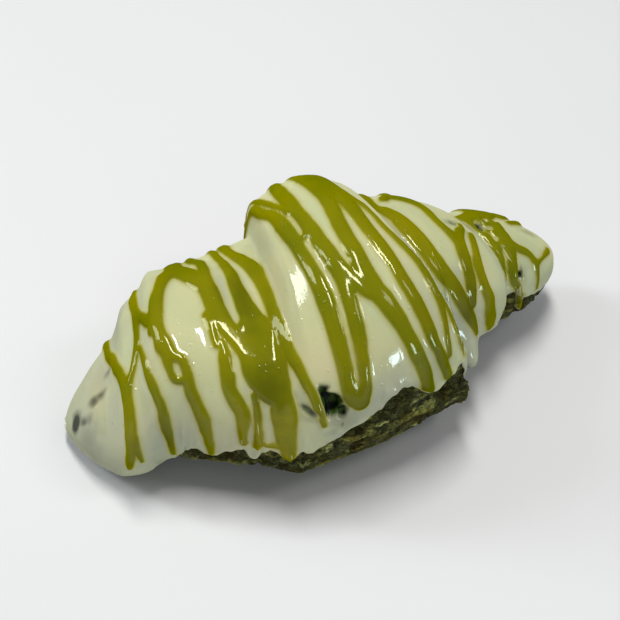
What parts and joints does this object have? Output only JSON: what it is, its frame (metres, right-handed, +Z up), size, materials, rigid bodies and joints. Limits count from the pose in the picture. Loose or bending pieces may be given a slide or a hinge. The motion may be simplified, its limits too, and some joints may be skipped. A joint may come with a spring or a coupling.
{
  "type": "glazed croissant",
  "caption": "Plump curved croissant of rolled dough in stepped coils, under a thick pale poured glaze with a green drizzle, bare flaky dough along its base.",
  "frame": {"origin": "on the table, under the middle of the bounding box", "axes": "+X along the roll toward the narrower, more pointed end, -Y toward the side shown, +Z up"},
  "size_m": [0.1682, 0.0874, 0.069],
  "materials": {
    "glaze": "thick pale cream green poured glaze, wet gloss, soft ripples and a rounded lower lip",
    "dough": "dark olive brown baked dough, matt, flaky and slightly porous",
    "drizzle": "olive green drizzle, glossy, thin at its edges and pooled where strands meet"
  },
  "bodies": {
    "root": {"croissant": "glaze"}
  },
  "joints": []
}
